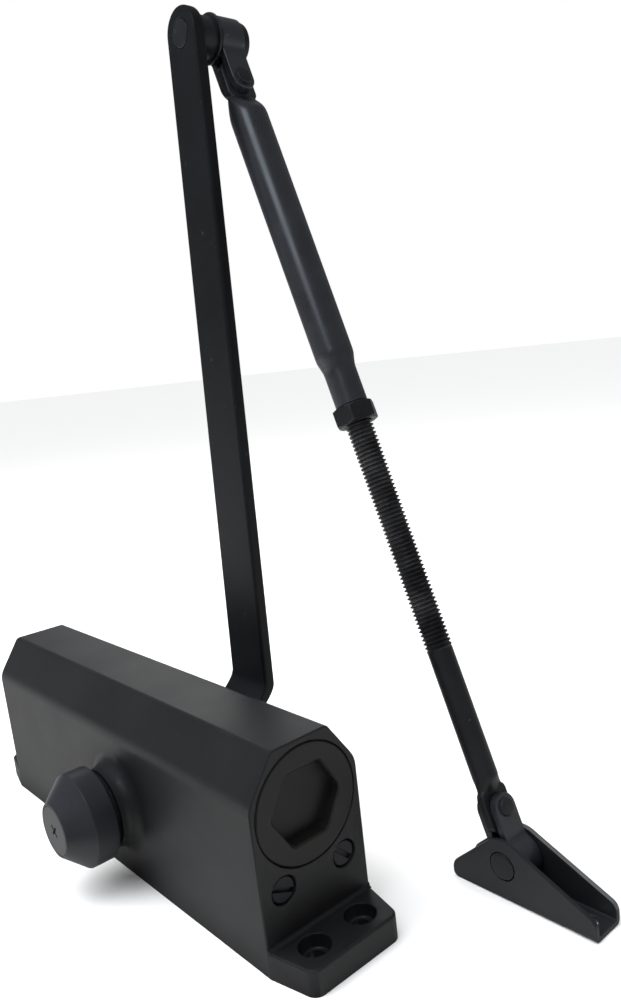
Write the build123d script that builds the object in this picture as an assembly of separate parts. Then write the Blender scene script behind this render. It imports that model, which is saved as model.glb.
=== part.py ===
from build123d import *
import math
import os

# Surface-mounted rack-and-pinion door closer with a folding two-piece arm.
# Frame: millimetres. The fixing face is Z = 0 and +Z leaves it. +X runs along the body towards
# the regulating screws, +Y towards the arm. The origin is the centre of the fixing holes.

# ---------------------------------------------------------------- driving dimensions
body_length = 196.0
body_width = 43.0
body_height = 70.8
top_width = 22.5
side_edge_z = 55.8
side_edge_radius = 9.0
top_edge_radius = 2.5

foot_reach = 17.4
foot_thick = 9.0
foot_tip_width = 35.4
foot_corner_radius = 4.0
foot_edge_radius = 0.9
root_fillet_radius = 1.4
end_rim_radius = 0.6
plug_mouth = 0.5
valve_mouth = 0.35
counterbore_mouth = 0.4

hole_spacing_x = 212.0
hole_spacing_y = 19.0
hole_radius = 3.25
counterbore_radius = 5.2
counterbore_depth = 4.5

bore_z = 48.9
bore_radius = 18.0
plug_radius = 19.6
plug_length = 20.0
plug_gap = 0.1
plug_chamfer = 0.4
plug_groove_at = 3.2
plug_groove_half_width = 1.4
plug_groove_depth = 2.4
plug_ring_section = 1.15
hex_across_flats = 24.0
hex_depth = 5.0

pinion_x = 8.5
pinion_z = 28.3
gear_teeth = 12
gear_module = 1.5
pressure_angle = math.radians(20.0)
gear_addendum = 1.35
gear_root_radius = 7.7
backlash = 0.24
gear_half_width = 13.4
journal_radius = 8.0
square_across_flats = 11.2
tooth_profile_steps = 5

rack_addendum = 1.0
rack_dedendum = 1.65
rack_grooves_left = 2
rack_grooves_right = 7

boss_radius = 15.2
boss_face_y = 27.5
boss_flare_radius = 5.0
cavity_radius = 11.25
bearing_inner_y = 16.0
bearing_outer_y = 23.2
running_gap = 0.05
press_gap = 0.01
end_gap = 0.1
gland_thread_radius = 12.9
gland_flange_radius = 14.0
gland_face_y = 30.0
gland_bore_gap = 0.3
gland_notches = 4
gland_notch = (4.0, 2.6, 3.0)
seal_radius = 10.8
seal_outer_y = 28.4

piston_left_x = -26.0
piston_right_x = 64.0
window_left_x = -4.0
window_right_x = 46.0
piston_gap = 0.06
spring_pocket_depth = 14.0
spring_pocket_radius = 16.0
drilling_reach = 12.0
drilling_width = 4.0

spring_wire_radius = 2.2
spring_coil_radius = 13.2
spring_turns = 8
spring_end_gap = 0.2
spring_seat_thick = 2.0
spring_seat_radius = 17.4
spring_seat_hole_radius = 6.0

ball_radius = 3.0
ball_chamber_radius = 3.3
ball_chamber_depth = 9.0
ball_passage_radius = 1.7
ball_seat_gap = 0.12
retainer_hole_radius = 1.8
retainer_thick = 2.2

valve_y = 12.45
valve_z = 25.4
valve_recess_radius = 4.7
valve_recess_depth = 1.6
valve_body_radius = 4.3
valve_head_x = 97.3
valve_bore_end_x = 80.0
valve_shoulder_at = 6.0
valve_cone_at = 2.5
valve_cone_radius = 2.2
valve_tip_radius = 1.3
valve_groove_at = 9.0
valve_groove_half_width = 1.0
valve_groove_depth = 1.6
valve_ring_section = 0.78
valve_slot_width = 1.5
valve_slot_depth = 1.3
gallery_radius = 1.6
gallery_x = 76.0

cap_back_y = 30.3
cap_band_y = 38.4
cap_face_y = 46.6
cap_band_radius = 17.6
cap_face_radius = 9.9
cap_wall = 1.8
cap_face_wall = 3.0
cap_hub_radius = 9.4
cap_socket_end_y = 41.0
screw_head_radius = 9.2
screw_head_thick = 1.6
screw_cross = (5.2, 2.6, 1.1)
screw_shank_radius = 2.9
screw_hole_gap = 0.2
screw_tap_radius = 3.0
screw_tap_depth = 14.0

arm_thick = 4.9
arm_front_y = 42.35
arm_foot_y = 30.6
arm_lean = 2.5
arm_length = 273.0
arm_foot_radius = 13.5
arm_root_half_width = 12.3
arm_tip_radius = 9.1
arm_bend_start = 13.0
arm_bend_end = 25.0
arm_bend_radius = 8.0
arm_edge_radius = 1.1
square_gap = 0.06
arm_washer_radius = 9.0
arm_washer_thick = 1.5
arm_screw_across_flats = 10.0
arm_screw_head = 4.0

forearm_y = 60.3
forearm_angle = 20.6
tilt_pin_at = 17.5
shoe_pivot_at = 308.6
knuckle_width = 9.6
knuckle_radius = 8.0
strip_thick = 3.0
leg_gap = 3.2
ear_radius = 4.8
knuckle_blend = 4.0
rivet_radius = 4.94
rivet_end_radius = 4.65
spacer_radius = 7.2
spacer_end_y = 54.0
elbow_washer_radius = 8.6
elbow_washer_end_y = 55.0
elbow_head_gap = 0.3
elbow_head_thick = 3.0
elbow_head_radius = 7.2
elbow_head_edge = 1.4
elbow_end_proud = 0.35
rivet_hole_gap = 0.02
tilt_pin_radius = 2.5
tilt_pin_gap = 0.07
tilt_head_radius = 3.1
tilt_head_thick = 1.2
tilt_head_edge = 0.7

tongue_width = 12.4
tongue_thick = 3.0
tongue_overhang = 7.4
tongue_corner = 3.0
tube_radius = 7.0
tube_bore_radius = 5.6
tube_shoulder_at = 23.4
tube_round_at = 31.0
swage_start = 125.6
swage_end = 130.9
neck_radius = 5.85
neck_bore_radius = 4.95
tube_end_at = 144.3
nut_length = 6.8
nut_across_flats = 14.0
rod_thread_radius = 4.85
rod_inner_end = 105.0
thread_end_at = 235.5
thread_gap = 0.08
shank_radius = 4.5
shank_end_at = 281.0
shank_flat_at = 285.5
flat_corner = 1.2
nut_turn = 20.0
nut_gap = 0.1

shoe_width = 13.6
shoe_plate = 1.8
shoe_left = 22.1
shoe_right = 34.9
shoe_left_height = 5.4
shoe_right_height = 6.8
shoe_hump_radius = 9.3
shoe_corner = 2.2
shoe_hole_radius = 2.4
shoe_holes_at = (-13.5, 28.5)
shoe_rivet_proud = 0.3

# ---------------------------------------------------------------- derived places
half_length = body_length / 2
pitch_radius = gear_module * gear_teeth / 2
tooth_pitch = math.pi * gear_module
rack_tip_z = pinion_z + pitch_radius - rack_addendum
rack_root_z = pinion_z + pitch_radius + rack_dedendum
lean = math.radians(arm_lean)
theta = math.radians(forearm_angle)
elbow_x = pinion_x + arm_length * math.sin(lean)
elbow_z = pinion_z + arm_length * math.cos(lean)
arm_back_y = arm_front_y + arm_thick
elbow_head_y = forearm_y + knuckle_width / 2 + elbow_head_gap
shoe_x = elbow_x + shoe_pivot_at * math.sin(theta)
shoe_z = elbow_z - shoe_pivot_at * math.cos(theta)
lower_tilt_at = shoe_pivot_at - tilt_pin_at

# Local frames: z runs up the main arm or down the forearm.
arm_frame = Plane(origin=(pinion_x, 0, pinion_z), x_dir=(math.cos(lean), 0, -math.sin(lean)),
                  z_dir=(math.sin(lean), 0, math.cos(lean)))
forearm_frame = Plane(origin=(elbow_x, forearm_y, elbow_z), x_dir=(0, 1, 0),
                      z_dir=(math.sin(theta), 0, -math.cos(theta)))
lower_frame = Plane(origin=(shoe_x, forearm_y, shoe_z), x_dir=(0, 1, 0),
                    z_dir=(-math.sin(theta), 0, math.cos(theta)))

nodes = {}


# ---------------------------------------------------------------- small shapes used throughout
def rod_x(radius, x0, x1, y, z):
    """Cylinder along X from x0 to x1."""
    return Plane(origin=((x0 + x1) / 2, y, z), z_dir=(1, 0, 0)) * Cylinder(radius, abs(x1 - x0))


def rod_y(radius, y0, y1, x, z):
    """Cylinder along Y from y0 to y1."""
    return Plane(origin=(x, (y0 + y1) / 2, z), z_dir=(0, 1, 0)) * Cylinder(radius, abs(y1 - y0))


def ring_y(outer, inner, y0, y1, x, z):
    """Plain ring along Y."""
    return rod_y(outer, y0, y1, x, z) - rod_y(inner, y0, y1, x, z)


def block(x0, x1, y0, y1, z0, z1):
    """Box between two opposite corners."""
    return Pos((x0 + x1) / 2, (y0 + y1) / 2, (z0 + z1) / 2) * Box(abs(x1 - x0), abs(y1 - y0), abs(z1 - z0))


def square_y(size, y0, y1, x, z):
    """Square bar along Y."""
    return block(x - size / 2, x + size / 2, y0, y1, z - size / 2, z + size / 2)


def o_ring(major, minor, plane):
    """Rubber ring of round section about a plane's normal."""
    return plane * Torus(major, minor)


# ---------------------------------------------------------------- housing
def body_block():
    outline = make_face(Polyline(
        (-body_width / 2, 0), (-body_width / 2, side_edge_z), (-top_width / 2, body_height),
        (top_width / 2, body_height), (body_width / 2, side_edge_z), (body_width / 2, 0), close=True))
    for corner_y, corner_z, radius in (
            (body_width / 2, side_edge_z, side_edge_radius),
            (top_width / 2, body_height, top_edge_radius)):
        corners = [v for v in outline.vertices()
                   if abs(abs(v.X) - corner_y) < 0.01 and abs(v.Y - corner_z) < 0.01]
        outline = fillet(corners, radius)
    solid = extrude(Plane.YZ * outline, amount=half_length, both=True)
    rims = [e for e in solid.edges() if abs(abs(e.center().X) - half_length) < 0.01 and e.center().Z > 1]
    return fillet(rims, end_rim_radius)


def foot_outline():
    reach = half_length + foot_reach
    tip = foot_tip_width / 2
    side = body_width / 2
    outline = make_face(Polyline(
        (-reach, -tip), (-half_length, -side), (half_length, -side), (reach, -tip),
        (reach, tip), (half_length, side), (-half_length, side), (-reach, tip), close=True))
    corners = [v for v in outline.vertices() if abs(v.X) > half_length + 1]
    return fillet(corners, foot_corner_radius)


def root_fillet():
    """Concave corner of the casting where the right end face meets its foot."""
    radius = root_fillet_radius
    corner = Pos(half_length + radius / 2, foot_thick + radius / 2) * Rectangle(radius, radius)
    corner -= Pos(half_length + radius, foot_thick + radius) * Circle(radius)
    strip = extrude(Plane.XZ * corner, amount=body_width, both=True)
    return strip & extrude(foot_outline(), amount=body_height)


def mouth(plane, radius, size):
    """Cutter that chamfers the mouth of a round hole, with the plane's normal pointing into the hole."""
    return plane * (Pos(0, 0, (size - 1) / 2) * Cone(radius + size + 1, radius, size + 1))


def housing():
    solid = body_block() + extrude(foot_outline(), amount=foot_thick)
    rims = [e for e in solid.edges()
            if e.bounding_box().min.Z > foot_thick - 0.01 and e.bounding_box().max.Z < foot_thick + 0.01
            and abs(e.center().X) > half_length + 0.5]
    solid = fillet(rims, foot_edge_radius)
    solid += root_fillet()
    solid += mirror(root_fillet(), about=Plane.YZ)
    side = body_width / 2
    for sign in (-1, 1):
        solid += rod_y(boss_radius, sign * (side - 2), sign * boss_face_y, pinion_x, pinion_z)
    bases = [e for e in solid.edges().filter_by(GeomType.CIRCLE)
             if abs(abs(e.center().Y) - side) < 0.01 and abs(e.radius - boss_radius) < 0.01]
    solid = fillet(bases, boss_flare_radius)

    inner_end = half_length - plug_length
    solid -= rod_x(bore_radius, -inner_end, inner_end, 0, bore_z)
    for sign in (-1, 1):
        solid -= rod_x(plug_radius + plug_gap, sign * inner_end, sign * (half_length + 1), 0, bore_z)
        solid -= rod_y(gland_thread_radius + plug_gap, sign * bearing_outer_y,
                       sign * (boss_face_y + 1), pinion_x, pinion_z)
        face = Plane(origin=(sign * half_length, 0, bore_z), z_dir=(-sign, 0, 0))
        solid -= mouth(face, plug_radius + plug_gap, plug_mouth)
    solid -= rod_y(cavity_radius, -bearing_outer_y, bearing_outer_y, pinion_x, pinion_z)

    for y in (-valve_y, valve_y):
        solid -= rod_x(valve_recess_radius, half_length - valve_recess_depth, half_length + 1, y, valve_z)
        face = Plane(origin=(half_length, y, valve_z), z_dir=(-1, 0, 0))
        solid -= mouth(face, valve_recess_radius, valve_mouth)
        solid -= rod_x(valve_body_radius + running_gap, valve_bore_end_x, half_length, y, valve_z)
        solid -= rod_x(gallery_radius, pinion_x, valve_bore_end_x + 1, y, valve_z)
        rise = bore_z - math.sqrt(bore_radius ** 2 - y ** 2) + 1
        solid -= Pos(gallery_x, y, (valve_z + rise) / 2) * Cylinder(gallery_radius, rise - valve_z)

    for x in (-hole_spacing_x / 2, hole_spacing_x / 2):
        for y in (-hole_spacing_y / 2, hole_spacing_y / 2):
            solid -= Pos(x, y, foot_thick / 2) * Cylinder(hole_radius, foot_thick + 2)
            solid -= Pos(x, y, foot_thick - counterbore_depth / 2 + 0.5) * Cylinder(
                counterbore_radius, counterbore_depth + 1)
            solid -= mouth(Plane(origin=(x, y, foot_thick), z_dir=(0, 0, -1)), counterbore_radius,
                           counterbore_mouth)
    return solid


# ---------------------------------------------------------------- end plugs and their rings
def end_plug(sign):
    outer = sign * half_length
    inner = sign * (half_length - plug_length)
    solid = rod_x(plug_radius, inner, outer, 0, bore_z)
    solid = chamfer(solid.edges().filter_by(GeomType.CIRCLE), plug_chamfer)
    corner = hex_across_flats / math.sqrt(3)
    socket = Plane(origin=(outer, 0, bore_z), x_dir=(0, 1, 0), z_dir=(sign, 0, 0)) * RegularPolygon(corner, 6)
    solid -= extrude(socket, amount=-hex_depth)
    start = sign * (half_length - plug_length + plug_groove_at) - plug_groove_half_width
    end = start + 2 * plug_groove_half_width
    groove = rod_x(plug_radius + 1, start, end, 0, bore_z)
    return solid - (groove - rod_x(plug_radius - plug_groove_depth, start, end, 0, bore_z))


def plug_ring(sign):
    x = sign * (half_length - plug_length + plug_groove_at)
    return o_ring(plug_radius - plug_groove_depth / 2, plug_ring_section,
                  Plane(origin=(x, 0, bore_z), z_dir=(1, 0, 0)))


# ---------------------------------------------------------------- pinion, bearings and glands
def involute(angle):
    return math.tan(angle) - angle


def gear_outline():
    """Twelve involute teeth, with one tooth centred on the +Y axis of the sketch."""
    base_radius = pitch_radius * math.cos(pressure_angle)
    tip_radius = pitch_radius + gear_addendum
    half_tooth = (tooth_pitch / 2 - backlash / 2) / 2 / pitch_radius
    flank = []
    for step in range(tooth_profile_steps + 1):
        radius = base_radius + (tip_radius - base_radius) * step / tooth_profile_steps
        contact = math.acos(base_radius / radius)
        flank.append((radius, half_tooth + involute(pressure_angle) - involute(contact)))
    points = []
    for tooth in range(gear_teeth):
        centre = math.pi / 2 + 2 * math.pi * tooth / gear_teeth
        left = [(gear_root_radius, flank[0][1])] + flank
        for radius, half in left:
            points.append((radius * math.cos(centre - half), radius * math.sin(centre - half)))
        for radius, half in reversed(left):
            points.append((radius * math.cos(centre + half), radius * math.sin(centre + half)))
    return make_face(Polyline(*points, close=True))


def pinion_shaft():
    axis_plane = Plane(origin=(pinion_x, 0, pinion_z), x_dir=(-1, 0, 0), z_dir=(0, 1, 0))
    solid = extrude(axis_plane * gear_outline(), amount=gear_half_width, both=True)
    shoulder = arm_foot_y - 2 * end_gap
    solid += rod_y(journal_radius, -shoulder, shoulder, pinion_x, pinion_z)
    solid += square_y(square_across_flats, -cap_socket_end_y + 5 * end_gap,
                      arm_foot_y + arm_thick - 2 * end_gap, pinion_x, pinion_z)
    for end_y, sign in ((-cap_socket_end_y, -1), (arm_foot_y + arm_thick, 1)):
        solid -= rod_y(screw_tap_radius, end_y - sign * screw_tap_depth, end_y + sign, pinion_x, pinion_z)
    return solid


def bearing(sign):
    return ring_y(cavity_radius - press_gap, journal_radius + running_gap, sign * bearing_inner_y,
                  sign * (bearing_outer_y - end_gap), pinion_x, pinion_z)


def gland_nut(sign):
    solid = rod_y(gland_thread_radius, sign * bearing_outer_y, sign * boss_face_y, pinion_x, pinion_z)
    solid += rod_y(gland_flange_radius, sign * boss_face_y, sign * gland_face_y, pinion_x, pinion_z)
    solid -= rod_y(seal_radius, sign * (bearing_outer_y - 1), sign * seal_outer_y, pinion_x, pinion_z)
    solid -= rod_y(journal_radius + gland_bore_gap, sign * bearing_outer_y, sign * (gland_face_y + 1),
                   pinion_x, pinion_z)
    for turn in range(gland_notches):
        angle = 2 * math.pi * (turn + 0.5) / gland_notches
        notch = Pos(pinion_x + gland_flange_radius * math.cos(angle), sign * gland_face_y,
                    pinion_z + gland_flange_radius * math.sin(angle))
        solid -= notch * Rot(0, -math.degrees(angle), 0) * Box(*gland_notch)
    return solid


def shaft_seal(sign):
    return ring_y(seal_radius - press_gap, journal_radius + 2 * press_gap,
                  sign * (bearing_outer_y + 2 * end_gap), sign * (seal_outer_y - end_gap), pinion_x, pinion_z)


# ---------------------------------------------------------------- piston side
def piston():
    radius = bore_radius - piston_gap
    solid = rod_x(radius, piston_left_x, piston_right_x, 0, bore_z)
    solid -= block(window_left_x, window_right_x, -bore_radius, bore_radius, 0, rack_tip_z)
    for index in range(-rack_grooves_left, rack_grooves_right + 1):
        x = pinion_x + index * tooth_pitch
        lean_in = math.tan(pressure_angle)
        half = tooth_pitch / 4 + backlash / 4
        wide = half + rack_addendum * lean_in
        narrow = half - rack_dedendum * lean_in
        groove = make_face(Polyline((x - wide, rack_tip_z - 0.01), (x + wide, rack_tip_z - 0.01),
                                    (x + narrow, rack_root_z), (x - narrow, rack_root_z), close=True))
        solid -= extrude(Plane.XZ * groove, amount=bore_radius, both=True)
    solid -= rod_x(spring_pocket_radius, piston_left_x - 1, piston_left_x + spring_pocket_depth, 0, bore_z)
    solid -= rod_x(ball_chamber_radius, piston_right_x - ball_chamber_depth, piston_right_x + 1, 0, bore_z)
    drilling_x = window_right_x - drilling_reach
    half = drilling_width / 2
    solid -= rod_x(ball_passage_radius, drilling_x, piston_right_x, 0, bore_z)
    return solid - block(drilling_x, drilling_x + drilling_width, -half, half, rack_tip_z, bore_z + half)


def ball_retainer():
    inner_x = piston_right_x - retainer_thick
    disc = rod_x(ball_chamber_radius - press_gap, inner_x, piston_right_x, 0, bore_z)
    return disc - rod_x(retainer_hole_radius, inner_x, piston_right_x, 0, bore_z)


def check_ball():
    seat_x = piston_right_x - ball_chamber_depth
    offset = math.sqrt(ball_radius ** 2 - ball_passage_radius ** 2)
    return Pos(seat_x + offset + ball_seat_gap, 0, bore_z) * Sphere(ball_radius)


def main_spring():
    start = -(half_length - plug_length) + spring_seat_thick
    end = piston_left_x + spring_pocket_depth
    rise = end - start - 2 * (spring_wire_radius + spring_end_gap)
    path = Helix(pitch=rise / spring_turns, height=rise, radius=spring_coil_radius)
    section = Plane(origin=path @ 0, z_dir=path % 0) * Circle(spring_wire_radius)
    coil = sweep(section, path=path)
    return Plane(origin=(start + spring_wire_radius + spring_end_gap, 0, bore_z), z_dir=(1, 0, 0)) * coil


def spring_seat():
    x0 = -(half_length - plug_length)
    disc = rod_x(spring_seat_radius, x0, x0 + spring_seat_thick - end_gap, 0, bore_z)
    return disc - rod_x(spring_seat_hole_radius, x0, x0 + spring_seat_thick, 0, bore_z)


# ---------------------------------------------------------------- regulating valves
def speed_valve(y, slot_angle):
    shoulder_x = valve_bore_end_x + valve_shoulder_at
    solid = rod_x(valve_body_radius, shoulder_x, valve_head_x, y, valve_z)
    solid += rod_x(valve_cone_radius, valve_bore_end_x + valve_cone_at, shoulder_x, y, valve_z)
    solid += Plane(origin=(valve_bore_end_x + valve_cone_at / 2, y, valve_z), z_dir=(1, 0, 0)) * Cone(
        valve_tip_radius, valve_cone_radius, valve_cone_at)
    start = valve_bore_end_x + valve_groove_at - valve_groove_half_width
    end = start + 2 * valve_groove_half_width
    groove = rod_x(valve_body_radius + 1, start, end, y, valve_z)
    solid -= groove - rod_x(valve_body_radius - valve_groove_depth, start, end, y, valve_z)
    slot = Rot(slot_angle, 0, 0) * Box(2 * valve_slot_depth, 3 * valve_body_radius, valve_slot_width)
    return solid - Pos(valve_head_x, y, valve_z) * slot


def valve_ring(y):
    place = Plane(origin=(valve_bore_end_x + valve_groove_at, y, valve_z), z_dir=(1, 0, 0))
    return o_ring(valve_body_radius - valve_groove_depth / 2, valve_ring_section, place)


# ---------------------------------------------------------------- cap over the lower end of the pinion
def turned_y(points):
    """Solid of revolution about the pinion axis from (radius, y) points on the cap side."""
    outline = make_face(Polyline(*[(radius, -y) for radius, y in points], close=True))
    return Pos(pinion_x, 0, pinion_z) * revolve(outline, Axis.Y)


def pinion_cap():
    slope = (cap_band_radius - cap_face_radius) / (cap_face_y - cap_band_y)
    inner_cone_y = cap_face_y - cap_face_wall
    inner_cone_radius = cap_band_radius - cap_wall - slope * (inner_cone_y - cap_band_y)
    shell = turned_y([
        (cap_band_radius, cap_back_y), (cap_band_radius, cap_band_y), (cap_face_radius, cap_face_y),
        (0, cap_face_y), (0, inner_cone_y), (inner_cone_radius, inner_cone_y),
        (cap_band_radius - cap_wall, cap_band_y), (cap_band_radius - cap_wall, cap_back_y)])
    shell += rod_y(cap_hub_radius, -cap_face_y + 1, -gland_face_y - 2, pinion_x, pinion_z)
    shell -= square_y(square_across_flats + end_gap, -cap_socket_end_y, -gland_face_y, pinion_x, pinion_z)
    shell -= rod_y(journal_radius + screw_hole_gap, -gland_face_y - 3, -gland_face_y, pinion_x, pinion_z)
    shell -= rod_y(screw_head_radius + end_gap, -cap_face_y - 1, -cap_face_y + screw_head_thick,
                   pinion_x, pinion_z)
    return shell - rod_y(screw_shank_radius + screw_hole_gap, -cap_face_y - 1, -cap_socket_end_y + 1,
                         pinion_x, pinion_z)


def cap_screw():
    solid = rod_y(screw_head_radius, -cap_face_y, -cap_face_y + screw_head_thick, pinion_x, pinion_z)
    solid += rod_y(screw_shank_radius, -cap_face_y, -cap_socket_end_y + screw_tap_depth - 1,
                   pinion_x, pinion_z)
    for angle in (45, 135):
        solid -= Pos(pinion_x, -cap_face_y, pinion_z) * Rot(0, angle, 0) * Box(*screw_cross)
    return solid


# ---------------------------------------------------------------- main arm and what holds it
def main_arm():
    lift = arm_front_y - arm_foot_y
    top = arm_length + arm_tip_radius
    bottom = -arm_foot_radius
    side = make_face(Polyline(
        (arm_foot_y, bottom), (arm_foot_y + arm_thick, bottom),
        (arm_foot_y + arm_thick, arm_bend_start), (arm_foot_y + arm_thick + lift, arm_bend_end),
        (arm_back_y, top), (arm_front_y, top),
        (arm_front_y, arm_bend_end + 2), (arm_foot_y, arm_bend_start + 2), close=True))
    bends = [v for v in side.vertices() if bottom + 1 < v.Y < top - 1]
    side = fillet(bends, arm_bend_radius)
    slab = extrude(Plane.YZ * side, amount=arm_foot_radius + 1, both=True)

    outline = make_face(Polyline(
        (-arm_root_half_width, 0), (-arm_tip_radius, arm_length), (arm_tip_radius, arm_length),
        (arm_root_half_width, 0), close=True))
    outline += Pos(0, arm_length) * Circle(arm_tip_radius)
    outline += Circle(arm_foot_radius)
    plate = Pos(0, arm_back_y + 5, 0) * extrude(Plane.XZ * outline, amount=arm_back_y - arm_foot_y + 10)
    solid = slab & plate
    rims = [e for e in solid.edges() if e.length > arm_length / 2 or
            (e.geom_type == GeomType.CIRCLE and e.center().Z > arm_length - 1)]
    solid = fillet(rims, arm_edge_radius)
    solid = arm_frame.location * solid
    solid -= square_y(square_across_flats + square_gap, arm_foot_y - 1, arm_foot_y + arm_thick + 1,
                      pinion_x, pinion_z)
    return solid - rod_y(rivet_end_radius + rivet_hole_gap, arm_front_y - 1, arm_back_y + 1, elbow_x, elbow_z)


def arm_washer():
    y0 = arm_foot_y + arm_thick
    return ring_y(arm_washer_radius, screw_shank_radius + screw_hole_gap, y0, y0 + arm_washer_thick,
                  pinion_x, pinion_z)


def arm_screw():
    y0 = arm_foot_y + arm_thick + arm_washer_thick
    head = Plane(origin=(pinion_x, y0, pinion_z), x_dir=(1, 0, 0), z_dir=(0, 1, 0)) * RegularPolygon(
        arm_screw_across_flats / math.sqrt(3), 6)
    solid = extrude(head, amount=arm_screw_head)
    return solid + rod_y(screw_shank_radius, y0 - screw_tap_depth, y0 + 1, pinion_x, pinion_z)


# ---------------------------------------------------------------- elbow
def elbow_rivet():
    solid = rod_y(rivet_end_radius, arm_front_y - elbow_end_proud, arm_back_y + 1, elbow_x, elbow_z)
    solid += rod_y(rivet_radius, arm_back_y, elbow_head_y + 1, elbow_x, elbow_z)
    head = rod_y(elbow_head_radius, elbow_head_y, elbow_head_y + elbow_head_thick, elbow_x, elbow_z)
    rim = [e for e in head.edges().filter_by(GeomType.CIRCLE) if e.center().Y > elbow_head_y + 1]
    return solid + fillet(rim, elbow_head_edge)


def elbow_spacer():
    return ring_y(spacer_radius, rivet_radius, arm_back_y, spacer_end_y, elbow_x, elbow_z)


def elbow_washer():
    return ring_y(elbow_washer_radius, rivet_radius, spacer_end_y, elbow_washer_end_y, elbow_x, elbow_z)


# ---------------------------------------------------------------- knuckles, alike at both ends
def knuckle(frame):
    """Steel strip wrapped round a rivet, its legs closing on a tongue. The strip's width is local X."""
    leg_outer = leg_gap / 2 + strip_thick
    leg_end = tilt_pin_at + ear_radius
    legs = Pos(0, leg_end / 2) * Rectangle(2 * leg_outer, leg_end)
    outline = Circle(knuckle_radius) + legs
    necks = [v for v in outline.vertices() if 0 < v.Y < knuckle_radius]
    outline = fillet(necks, knuckle_blend)
    outline -= Circle(knuckle_radius - strip_thick)
    outline -= Pos(0, leg_end / 2 + 1) * Rectangle(leg_gap, leg_end + 2)
    strip = extrude(Plane.YZ * outline, amount=knuckle_width / 2, both=True)
    ears = Pos(0, (tilt_pin_at - knuckle_radius) / 2) * Rectangle(knuckle_width, tilt_pin_at + knuckle_radius)
    ears += Pos(0, tilt_pin_at) * Circle(ear_radius)
    strip = strip & extrude(Plane.XZ * ears, amount=knuckle_radius + 1, both=True)
    strip -= Pos(0, 0, tilt_pin_at) * Rot(90, 0, 0) * Cylinder(tilt_pin_radius, 3 * leg_outer)
    return frame.location * strip


def tilt_pin(frame):
    """Riveted pin through the legs, along local Y."""
    reach = leg_gap / 2 + strip_thick
    solid = Rot(90, 0, 0) * Cylinder(tilt_pin_radius, 2 * reach)
    for sign in (-1, 1):
        head = Rot(90, 0, 0) * Cylinder(tilt_head_radius, tilt_head_thick)
        rim = [e for e in head.edges().filter_by(GeomType.CIRCLE) if sign * e.center().Y > 0]
        solid += Pos(0, sign * (reach + tilt_head_thick / 2), 0) * fillet(rim, tilt_head_edge)
    return frame.location * (Pos(0, 0, tilt_pin_at) * solid)


def tongue(start, end):
    """Flat tongue in the forearm frame, its first end rounded at the corners."""
    low = min(start, end)
    high = max(start, end)
    outline = Pos(0, (low + high) / 2) * Rectangle(tongue_width, high - low)
    corners = [v for v in outline.vertices() if abs(v.Y - start) < 0.01]
    outline = fillet(corners, tongue_corner)
    return extrude(Plane.XZ * outline, amount=tongue_thick / 2, both=True)


# ---------------------------------------------------------------- forearm
def tube_z(radius, z0, z1):
    return Pos(0, 0, (z0 + z1) / 2) * Cylinder(radius, z1 - z0)


def forearm_tube():
    pinch = RectangleRounded(tongue_width + 0.6, tongue_thick + 0.4, flat_corner)
    flat = Pos(0, 0, tube_shoulder_at) * pinch
    full = Pos(0, 0, tube_round_at) * Circle(tube_radius)
    solid = tongue(tilt_pin_at - tongue_overhang, tube_shoulder_at + 0.5) + loft([flat, full])
    solid += tube_z(tube_radius, tube_round_at, swage_start)
    solid += Pos(0, 0, (swage_start + swage_end) / 2) * Cone(tube_radius, neck_radius, swage_end - swage_start)
    solid += tube_z(neck_radius, swage_end, tube_end_at)
    solid -= tube_z(tube_bore_radius, tube_round_at + 2, swage_start)
    solid -= tube_z(neck_bore_radius, swage_start - 1, tube_end_at + 1)
    hole = Rot(90, 0, 0) * Cylinder(tilt_pin_radius + tilt_pin_gap, 2 * tongue_thick)
    solid -= Pos(0, 0, tilt_pin_at) * hole
    return forearm_frame.location * solid


def adjusting_rod():
    solid = tube_z(rod_thread_radius, rod_inner_end, thread_end_at)
    solid += tube_z(shank_radius, thread_end_at, shank_end_at)
    round_end = Pos(0, 0, shank_end_at) * Circle(shank_radius)
    pinch = RectangleRounded(tongue_width - 0.4, tongue_thick - 0.1, flat_corner)
    solid += loft([round_end, Pos(0, 0, shank_flat_at) * pinch])
    solid += tongue(lower_tilt_at + tongue_overhang, shank_flat_at - 0.5)
    hole = Rot(90, 0, 0) * Cylinder(tilt_pin_radius + tilt_pin_gap, 2 * tongue_thick)
    solid -= Pos(0, 0, lower_tilt_at) * hole
    return forearm_frame.location * solid


def lock_nut():
    start = tube_end_at + nut_gap
    solid = Pos(0, 0, start) * extrude(RegularPolygon(nut_across_flats / math.sqrt(3), 6), amount=nut_length)
    solid = Rot(0, 0, nut_turn) * solid
    solid -= tube_z(rod_thread_radius + thread_gap, start - 1, start + nut_length + 1)
    return forearm_frame.location * solid


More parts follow.
